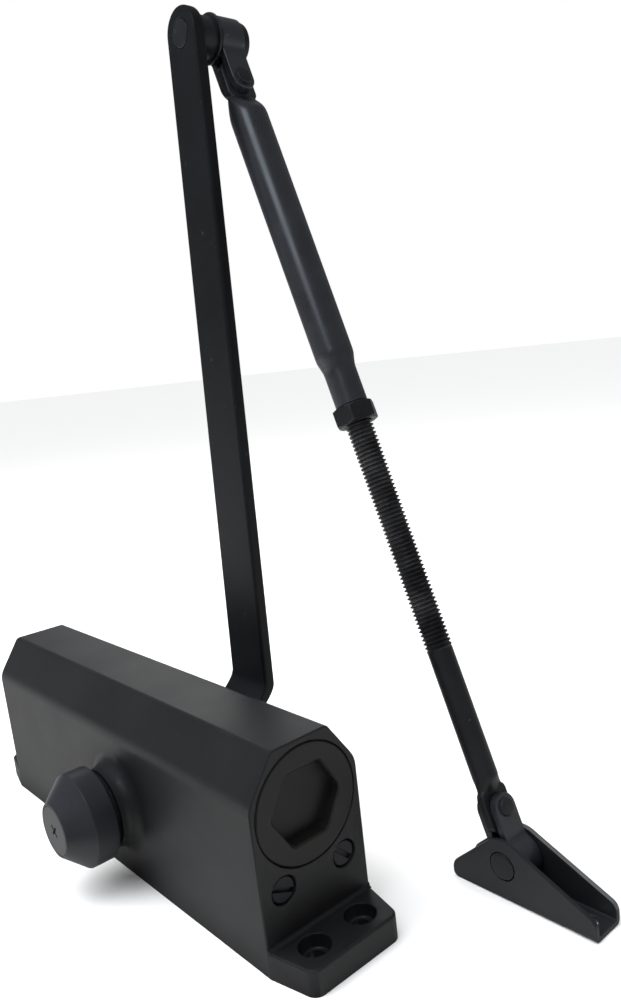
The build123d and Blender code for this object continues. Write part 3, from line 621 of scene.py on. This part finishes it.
def arc(x, y, radius, start, end, steps):
    """Points along an arc, angles in degrees."""
    angles = [math.radians(start + (end - start) * step / steps) for step in range(steps + 1)]
    return [(x + radius * math.cos(angle), y + radius * math.sin(angle)) for angle in angles]


meet = math.degrees(math.acos(root_half_width / foot_radius))
root_end = arc(0, 0, foot_radius, meet, -180 - meet, 32)
tip_end = arc(0, arm_length, tip_radius, 180, 0, 32)
bar = prism(root_end + tip_end, arm_thick)
for cut in range(int(crank_start) - 2, int(crank_end) + 4):
    bmesh.ops.bisect_plane(bar, geom=bar.verts[:] + bar.edges[:] + bar.faces[:], dist=1e-4,
                           plane_co=(0, cut, 0), plane_no=(0, 1, 0))
for v in bar.verts:
    place = v.co.y - crank_offset * v.co.z / arm_thick
    t = min(max((place - crank_start) / (crank_end - crank_start), 0.0), 1.0)
    v.co.z -= arm_lift * (3 * t * t - 2 * t ** 3)
arm_place = ((pinion_axis.x, arm_back * mm - arm_lift * mm, pinion_axis.z),
             (arm_way.z, 0, -arm_way.x), (0, -1, 0))
arm = add_piece("cranked_main_arm", placed(bar, *arm_place))
soften(arm, arm_edge_round, segments=4)
square = block(square_size, square_size, square_size)
turn(square, math.atan2(arm_way.x, arm_way.z))
carve(arm, placed(square, *arm_place))
mouth_end = 5.0
beyond = 8.0
rivet_seat = turned([(0, -beyond), (rivet_hole_radius, -beyond),
                     (rivet_hole_radius, mouth_end - rivet_hole_mouth_depth),
                     (rivet_hole_mouth_radius, mouth_end), (rivet_hole_mouth_radius, beyond),
                     (0, beyond)], closed=False)
shift(rivet_seat, y=arm_length, z=-arm_lift)
carve(arm, placed(rivet_seat, *arm_place))
dress(arm, "spindle_and_arm", "arm_paint", arm_paint, "main_arm")


# ---------------------------------------------------------------- arm screw
# A black hexagon screw and a thick washer pull the arm onto the square end of the shaft.
# The head is chamfered at its corners as a rolled screw's is.
def hexagon(across_flats, height, chamfer):
    """Hexagon bar with its end corners turned off, from local Z = 0."""
    corner = across_flats / math.sqrt(3)
    bar = prism([(corner * math.cos(math.radians(60 * k)), corner * math.sin(math.radians(60 * k)))
                 for k in range(6)], height)
    inner = 0.965 * across_flats / 2
    outer = inner + 1.8 * chamfer
    barrel = turned([(0, -0.01), (inner, -0.01), (outer, chamfer), (outer, height - chamfer),
                     (inner, height + 0.01), (0, height + 0.01)], closed=False)
    return bar, barrel


washer_thick = 1.5
washer_radius = 9.0
washer_hole_radius = 3.1
arm_screw_flats = 10.0
arm_screw_head = 4.0
arm_screw_chamfer = 0.7
arm_screw_radius = 2.9
arm_screw_tip = washer_thick - 14.0
arm_root_back = arm_back - arm_lift
behind_arm = ((pinion_axis.x, arm_root_back * mm, pinion_axis.z), (1, 0, 0), (0, 1, 0))
ring = turned([(washer_hole_radius, 0), (washer_radius, 0), (washer_radius, washer_thick),
               (washer_hole_radius, washer_thick)])
washer = add_piece("arm_screw_washer", placed(ring, *behind_arm))
soften(washer, 0.25)
dress(washer, "spindle_and_arm", "dark_steel", dark_steel, "arm_washer")

bar, barrel = hexagon(arm_screw_flats, arm_screw_head, arm_screw_chamfer)
shift(bar, z=washer_thick)
shift(barrel, z=washer_thick)
head_screw = add_piece("arm_hexagon_screw", placed(bar, *behind_arm))
carve(head_screw, placed(barrel, *behind_arm), "INTERSECT")
shank = turned([(0, arm_screw_tip), (arm_screw_radius, arm_screw_tip),
                (arm_screw_radius, washer_thick + 1), (0, washer_thick + 1)], steps=48, closed=False)
carve(head_screw, placed(shank, *behind_arm), "UNION")
dress(head_screw, "spindle_and_arm", "dark_steel", dark_steel, "arm_screw")


# ---------------------------------------------------------------- elbow
# A shouldered steel rivet joins the arm to the forearm. Its near end is hammered over in the arm,
# a spacer and a thin washer keep the knuckle clear of the arm, and its far head is domed.
def domed(radius, start, height, edge):
    """Profile points of a rivet head with a rounded rim, from its edge to its middle."""
    points = [(radius, start)]
    for step in range(7):
        angle = math.pi / 2 * step / 6
        points.append((radius - edge + edge * math.cos(angle),
                       start + (height - edge + edge * math.sin(angle))))
    points.append((0.55 * radius, start + (height + 0.06 * edge)))
    return points + [(0, start + (height + 0.08 * edge))]


elbow_low, elbow_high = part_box("elbow_rivet")
spacer_low, spacer_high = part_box("elbow_spacer")
thin_low, thin_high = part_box("elbow_washer")
rivet_end = 4.65
rivet_body = 4.92
far_head = 7.2
far_head_thick = 3.0
far_head_rise = far_head_thick - 0.11
far_head_edge = 1.3
spacer_radius = 7.2
thin_washer_radius = 8.6
ring_edge_round = 0.3
rivet_reach = (elbow_high.y - elbow_low.y) / mm
at_elbow = ((elbow_axis.x, elbow_low.y, elbow_axis.z), (1, 0, 0), (0, 1, 0))
arm_face = (spacer_low.y - elbow_low.y) / mm

near_edge = [(0, 0.0), (rivet_end - 0.9, 0.0), (rivet_end - 0.35, 0.08), (rivet_end, 0.35)]
far_edge = domed(far_head, rivet_reach - far_head_thick, far_head_rise, far_head_edge)
stem = turned(near_edge + [(rivet_end, arm_face), (rivet_body, arm_face),
                           (rivet_body, rivet_reach - far_head_thick)] + far_edge, closed=False)
rivet = add_piece("elbow_pivot_rivet", placed(stem, *at_elbow))
dress(rivet, "spindle_and_arm", "dark_steel", dark_steel, "elbow_rivet", sharp=35.0)

for name, node, radius, low, high in (
        ("elbow_spacer_ring", "elbow_spacer", spacer_radius, spacer_low, spacer_high),
        ("elbow_thin_washer", "elbow_washer", thin_washer_radius, thin_low, thin_high)):
    start = (low.y - elbow_low.y) / mm
    end = (high.y - elbow_low.y) / mm
    ring = turned([(rivet_body, start), (radius, start), (radius, end), (rivet_body, end)])
    collar = add_piece(name, placed(ring, *at_elbow))
    soften(collar, ring_edge_round)
    dress(collar, "spindle_and_arm", "dark_steel", dark_steel, node)


# ---------------------------------------------------------------- knuckles and tilt pins
# Steel strip is wrapped round the rivet at each end of the forearm, and its two legs close on a
# flat tongue. A small domed pin through the legs lets the forearm tilt.
shoe_axis = sum(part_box("shoe_rivet"), Vector()) / 2
forearm_way = Vector((shoe_axis.x - elbow_axis.x, 0.0, shoe_axis.z - elbow_axis.z)).normalized()
forearm_y = sum(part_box("upper_knuckle"), Vector()).y / 2
knuckle_width = 9.6
knuckle_radius = 8.0
strip_thick = 3.0
leg_gap = 3.2
leg_blend = 4.0
pin_at = 17.5
ear_radius = 4.8
ear_start = -9.0
ear_cut = 24.0
knuckle_edge_round = 0.4
tilt_pin_radius = 2.5
tilt_head_radius = 3.1
tilt_head_thick = 1.2
tilt_head_edge = 0.8
forearm_steel = finish("blued_forearm_steel", (0.0135, 0.0150, 0.0190), (0.20, 0.20, 0.205),
                       (0.26, 0.36), 1500.0, 0.000012, wear=0.7, cloud=70.0, shine=0.8)

leg_outer = leg_gap / 2 + strip_thick
blend_x = leg_outer + leg_blend
blend_y = math.sqrt((knuckle_radius + leg_blend) ** 2 - blend_x ** 2)
blend_angle = math.degrees(math.atan2(blend_y, blend_x))
eye_radius = knuckle_radius - strip_thick
eye_angle = math.degrees(math.acos(leg_gap / 2 / eye_radius))
leg_end = pin_at + ear_radius
strip_outline = (
    [(leg_outer, leg_end)]
    + arc(blend_x, blend_y, leg_blend, 180, 180 + blend_angle, 8)
    + arc(0, 0, knuckle_radius, blend_angle, -180 - blend_angle, 64)[1:-1]
    + arc(-blend_x, blend_y, leg_blend, -blend_angle, 0, 8)
    + [(-leg_outer, leg_end), (-leg_gap / 2, leg_end)]
    + arc(0, 0, eye_radius, 180 - eye_angle, 360 + eye_angle, 56)
    + [(leg_gap / 2, leg_end)])
ear_outline = arc(0, pin_at, ear_radius, 0, 180, 24) + [(-ear_radius, ear_start), (ear_radius, ear_start)]
across = Vector((0, 1, 0))

for end, body, origin, way in (
        ("upper", "elbow_knuckle", elbow_axis, forearm_way),
        ("lower", "shoe_knuckle", shoe_axis, -forearm_way)):
    centre = (origin.x, forearm_y, origin.z)
    strip = prism(strip_outline, knuckle_width)
    shift(strip, z=-knuckle_width / 2)
    knuckle = add_piece(end + "_wrapped_knuckle", placed(strip, centre, way.cross(across), across))
    ears = prism(ear_outline, ear_cut)
    shift(ears, z=-ear_cut / 2)
    carve(knuckle, placed(ears, centre, across, across.cross(way)), "INTERSECT")
    soften(knuckle, knuckle_edge_round, clamp=False)
    dress(knuckle, body, "arm_paint", forearm_steel, end + "_knuckle")

    head_profile = domed(tilt_head_radius, leg_outer, tilt_head_thick, tilt_head_edge)
    mirrored = [(radius, -height) for radius, height in reversed(head_profile)]
    shank = [(tilt_pin_radius, -leg_outer), (tilt_pin_radius, leg_outer)]
    pin_shape = turned(mirrored + shank + head_profile, steps=48, closed=False)
    turn(pin_shape, math.pi / 2, "X")
    shift(pin_shape, z=pin_at)
    pin = add_piece(end + "_domed_tilt_pin", placed(pin_shape, centre, across, way))
    dress(pin, body, "dark_steel", dark_steel, end + "_tilt_pin", sharp=35.0)


# ---------------------------------------------------------------- forearm tube
# A steel tube pinched flat on a tongue at its upper end and swaged down at its lower end, where
# it is threaded inside for the adjusting rod.
def rings(stations, segments=64):
    """Closed skin through (height, half width, half depth, dip) rings along local Z."""
    bm = bmesh.new()
    loops = []
    for index, (height, half_x, half_y, dip) in enumerate(stations):
        capped = index in (0, len(stations) - 1)
        made = bmesh.ops.create_circle(bm, cap_ends=capped, segments=segments, radius=1.0)
        for v in made["verts"]:
            v.co = (half_x * v.co.x, half_y * v.co.y * (1 - dip * math.exp(-7 * v.co.x ** 2)), height)
        loops.append(list({e for v in made["verts"] for e in v.link_edges}))
    for lower, upper in zip(loops, loops[1:]):
        bmesh.ops.bridge_loops(bm, edges=lower + upper)
    return bm


def tongue(start, end, rounded):
    """Flat tongue along local Z, its free corners rounded and its joined corners eased."""
    bm = block(tongue_width, tongue_thick, end - start)
    shift(bm, z=(start + end) / 2)
    plain_end = start + end - rounded
    for height, width, segments in ((rounded, tongue_corner_round, 8), (plain_end, tongue_joint_ease, 6)):
        corners = [e for e in bm.edges if all(abs(v.co.z - height) < 0.01 for v in e.verts)
                   and abs(e.verts[0].co.x - e.verts[1].co.x) < 0.01]
        round_edges(bm, corners, width, segments)
    rims = [e for e in bm.edges if e.calc_face_angle(0) > 1.2 and
            all(abs(v.co.z - plain_end) > 0.01 for v in e.verts)]
    round_edges(bm, rims, tongue_rim_round, 3)
    return bm


tongue_width = 12.4
tongue_thick = 3.0
tongue_corner_round = 3.0
tongue_joint_ease = 2.8
tongue_rim_round = 0.4
tongue_overhang = 7.4
tube_radius = 7.0
neck_radius = 5.85
pinch_at = 23.4
tube_end = 144.3
tube_bore_radius = 5.6
tube_thread_radius = 4.95
along_forearm = ((elbow_axis.x, forearm_y, elbow_axis.z), (0, 1, 0), forearm_way)
skin = rings([
    (pinch_at, 6.35, 1.75, 0.12), (24.4, 6.6, 2.5, 0.3), (25.6, 6.8, 3.7, 0.38), (27.0, 6.88, 4.9, 0.3),
    (28.6, 6.95, 6.0, 0.16), (30.2, 7.0, 6.7, 0.03), (32.0, tube_radius, tube_radius, 0),
    (78.0, tube_radius, tube_radius, 0), (124.6, tube_radius, tube_radius, 0), (126.2, 6.9, 6.9, 0),
    (128.2, 6.4, 6.4, 0), (130.2, 5.95, 5.95, 0), (131.6, neck_radius, neck_radius, 0),
    (tube_end - 0.5, neck_radius, neck_radius, 0), (tube_end, neck_radius - 0.45, neck_radius - 0.45, 0)])
tube = add_piece("pinched_forearm_tube", placed(skin, *along_forearm))
upper_tongue_end = pin_at - tongue_overhang
upper_tongue = tongue(upper_tongue_end, pinch_at + 0.8, upper_tongue_end)
carve(tube, placed(upper_tongue, *along_forearm), "UNION")
hollow = turned([(0, 33.5), (tube_bore_radius, 34.5), (tube_bore_radius, 124.5),
                 (tube_thread_radius, 126.0), (tube_thread_radius, tube_end + 2), (0, tube_end + 2)],
                closed=False)
carve(tube, placed(hollow, *along_forearm))
dress(tube, "forearm_upper", "arm_paint", forearm_steel, "forearm_tube", sharp=35.0)


# ---------------------------------------------------------------- adjusting rod
# A steel rod with a rolled M10 x 1.5 thread above a plain shank, flattened to a tongue at its
# lower end. Turning it out of the tube sets the length of the forearm.
thread_start = 128.0
thread_end = 235.5
thread_pitch = 1.5
thread_crest = 4.83
thread_root = 4.02
shank_radius = 4.5
shank_end = 281.0
turn_steps = 24
turns = math.ceil((thread_end - thread_start) / thread_pitch) + 2
rod_steel = finish("rolled_thread_steel", (0.0125, 0.0128, 0.0140), (0.22, 0.22, 0.22),
                   (0.30, 0.42), 1800.0, 0.00001, metallic=0.35, wear=0.75, cloud=80.0)

thread = bmesh.new()
section = [(thread_root, 0.0), (thread_root, 0.16), (thread_crest, 0.58), (thread_crest, 0.76),
           (thread_crest, 0.92), (thread_root, 1.34), (thread_root, thread_pitch)]
first_turn = thread_start - thread_pitch
points = [thread.verts.new((radius, 0.0, first_turn + height)) for radius, height in section]
edges = [thread.edges.new(pair) for pair in zip(points, points[1:])]
bmesh.ops.spin(thread, geom=points + edges, cent=(0, 0, 0), axis=(0, 0, 1),
               dvec=(0, 0, thread_pitch / turn_steps), angle=2 * math.pi * turns,
               steps=turn_steps * turns, use_merge=False, use_duplicate=False)
bmesh.ops.remove_doubles(thread, verts=thread.verts, dist=1e-4)
for cut, way in ((thread_start, -1), (thread_end, 1)):
    bmesh.ops.bisect_plane(thread, geom=thread.verts[:] + thread.edges[:] + thread.faces[:], dist=1e-5,
                           plane_co=(0, 0, cut), plane_no=(0, 0, way), clear_outer=True)
open_edges = [e for e in thread.edges if e.is_boundary]
bmesh.ops.holes_fill(thread, edges=open_edges, sides=0)
for v in thread.verts:
    # The thread runs out into the shank over its last two turns.
    fade = min(max((thread_end - v.co.z) / (2 * thread_pitch), 0.0), 1.0)
    radius = math.hypot(v.co.x, v.co.y)
    if radius > 0.1:
        v.co.xy *= (shank_radius - 0.02 + fade * (radius - shank_radius + 0.02)) / radius
rod = add_piece("threaded_adjusting_rod", placed(thread, *along_forearm))
forearm_length = 308.6
lower_tongue_end = forearm_length - pin_at + tongue_overhang
plain = rings([
    (thread_end - 1.0, shank_radius - 0.4, shank_radius - 0.4, 0),
    (thread_end - 0.6, shank_radius, shank_radius, 0), (260.0, shank_radius, shank_radius, 0),
    (shank_end - 1, shank_radius, shank_radius, 0), (shank_end + 0.6, 4.75, 3.8, 0),
    (shank_end + 2.2, 5.4, 2.6, 0.05), (shank_end + 3.6, 5.9, 1.8, 0.05),
    (shank_end + 5.0, 6.15, 1.42, 0)])
carve(rod, placed(plain, *along_forearm), "UNION")
lower_tongue = tongue(shank_end + 2.8, lower_tongue_end, lower_tongue_end)
carve(rod, placed(lower_tongue, *along_forearm), "UNION")
dress(rod, "forearm_lower", "arm_paint", rod_steel, "adjusting_rod", sharp=35.0)


# ---------------------------------------------------------------- lock nut
# A black hexagon nut, 14 mm across its flats, that runs on the thread and locks against the tube.
# Its corners are chamfered at both ends.
nut_length = 6.8
nut_start = tube_end + 0.1
nut_end = nut_start + nut_length
nut_flats = 14.0
nut_chamfer = 0.9
nut_angle = 20.0
nut_bore_radius = 4.9
nut_mouth_radius = 5.6
bar, barrel = hexagon(nut_flats, nut_length, nut_chamfer)
for shape in (bar, barrel):
    turn(shape, math.radians(nut_angle))
    shift(shape, z=nut_start)
nut = add_piece("forearm_lock_nut", placed(bar, *along_forearm))
carve(nut, placed(barrel, *along_forearm), "INTERSECT")
bore = turned([(0, nut_start - 1), (nut_mouth_radius, nut_start - 0.5), (nut_bore_radius, nut_start + 0.5),
               (nut_bore_radius, nut_end - 0.5), (nut_mouth_radius, nut_end + 0.5), (0, nut_end + 1)],
              closed=False)
carve(nut, placed(bore, *along_forearm))
dress(nut, "jam_nut", "dark_steel", rod_steel, "lock_nut")


# ---------------------------------------------------------------- shoe
# Steel plate bent to a channel, with a hump in each flange that carries the pivot rivet. It is
# screwed down through two holes in its base and finished like the arm.
shoe_paint = finish("stoved_black_shoe", (0.0112, 0.0118, 0.0135), (0.10, 0.10, 0.105),
                    (0.38, 0.47), 1300.0, 0.00001, wear=0.6, cloud=30.0)
shoe_low, shoe_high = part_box("shoe")
shoe_width = (shoe_high.y - shoe_low.y) / mm
heel = (shoe_low.x - shoe_axis.x) / mm
toe = (shoe_high.x - shoe_axis.x) / mm
pivot_height = shoe_axis.z / mm
heel_height = 5.4
toe_height = 6.8
hump_radius = 9.3
plate = 1.8
corner_round = 2.2
bend_round = 1.9
inner_bend_round = 0.8
plate_edge_round = 0.28
pivot_hole_radius = 5.0
screw_holes_along = (-13.5, 28.5)
screw_hole_radius = 2.4
screw_mouth_radius = 2.9


def tangent(x, y, radius, side):
    """Angle of the point where a line from (x, y) meets a circle about the origin."""
    return math.degrees(math.atan2(y, x) + side * math.acos(radius / math.hypot(x, y)))


leave = tangent(toe, toe_height - pivot_height, hump_radius, 1)
arrive = tangent(heel, heel_height - pivot_height, hump_radius, -1) % 360
outline = [(heel, -pivot_height), (toe, -pivot_height), (toe, toe_height - pivot_height)]
outline += arc(0, 0, hump_radius, leave, arrive, 24) + [(heel, heel_height - pivot_height)]
side_view = prism(outline, shoe_width)
shift(side_view, z=-shoe_width / 2)
corners = [e for e in side_view.edges if abs(e.verts[0].co.z - e.verts[1].co.z) > 1 and
           (e.verts[0].co.x < heel + 0.01 or
            (e.verts[0].co.x > toe - 0.01 and e.verts[0].co.y > -pivot_height + 1))]
round_edges(side_view, corners, corner_round, 6)
bends = [e for e in side_view.edges if all(v.co.y < -pivot_height + 0.01 for v in e.verts)
         and abs(e.verts[0].co.x - e.verts[1].co.x) > 10]
round_edges(side_view, bends, bend_round, 6)
at_shoe = ((shoe_axis.x, (shoe_low.y + shoe_high.y) / 2, shoe_axis.z), (1, 0, 0), (0, -1, 0))
shoe = add_piece("bent_frame_shoe", placed(side_view, *at_shoe))
channel_height = 40
channel = block(120, channel_height, shoe_width - 2 * plate)
shift(channel, y=channel_height / 2 + plate - pivot_height)
folds = [e for e in channel.edges if all(v.co.y < 0 for v in e.verts)
         and abs(e.verts[0].co.x - e.verts[1].co.x) > 10]
round_edges(channel, folds, inner_bend_round, 4)
carve(shoe, placed(channel, *at_shoe))
pivot_hole = turned([(0, -20), (pivot_hole_radius, -20), (pivot_hole_radius, 20), (0, 20)], closed=False)
carve(shoe, placed(pivot_hole, *at_shoe))
for along in screw_holes_along:
    hole = turned([(0, -3), (screw_hole_radius, -3), (screw_hole_radius, plate - 0.5),
                   (screw_mouth_radius, plate + 0.01), (screw_mouth_radius, 6), (0, 6)],
                  steps=48, closed=False)
    spot = (shoe_axis.x + along * mm, at_shoe[0][1], shoe_low.z)
    carve(shoe, placed(hole, spot, (1, 0, 0), (0, 0, 1)))
soften(shoe, plate_edge_round, clamp=False)
dress(shoe, "shoe_body", "arm_paint", shoe_paint, "shoe", sharp=35.0)
# The upward faces along the far flange's sheared upper edge get a lighter finish, a painted highlight for
# the light that edge catches.
edge_highlight_paint = finish("painted_edge_highlight", (0.075, 0.077, 0.08), (0.2, 0.2, 0.2),
                    (0.34, 0.44), 1300.0, 0.00001, wear=0.6)
shoe.data.materials.append(edge_highlight_paint)
# Painted highlight: only the far flange's upward faces take the lighter finish.
for face in shoe.data.polygons:
    if face.normal.z > 0.25 and face.center.z > 4.0 * mm and face.center.y > shoe_axis.y:
        face.material_index = 1

# The shoe's pivot is a shouldered rivet, its ends hammered over in the flanges.
pin_low, pin_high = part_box("shoe_rivet")
reach = (pin_high.y - pin_low.y) / mm / 2
inner = shoe_width / 2 - plate - 0.05
rivet_side = [(0, reach), (3.9, reach), (4.4, reach - 0.1), (rivet_end, reach - 0.35),
              (rivet_end, inner), (rivet_body, inner)]
both = rivet_side + [(radius, -height) for radius, height in reversed(rivet_side)]
pivot = add_piece("shoe_pivot_rivet", placed(turned(both, closed=False), *at_shoe))
dress(pivot, "shoe_body", "dark_steel", dark_steel, "shoe_rivet", sharp=35.0)
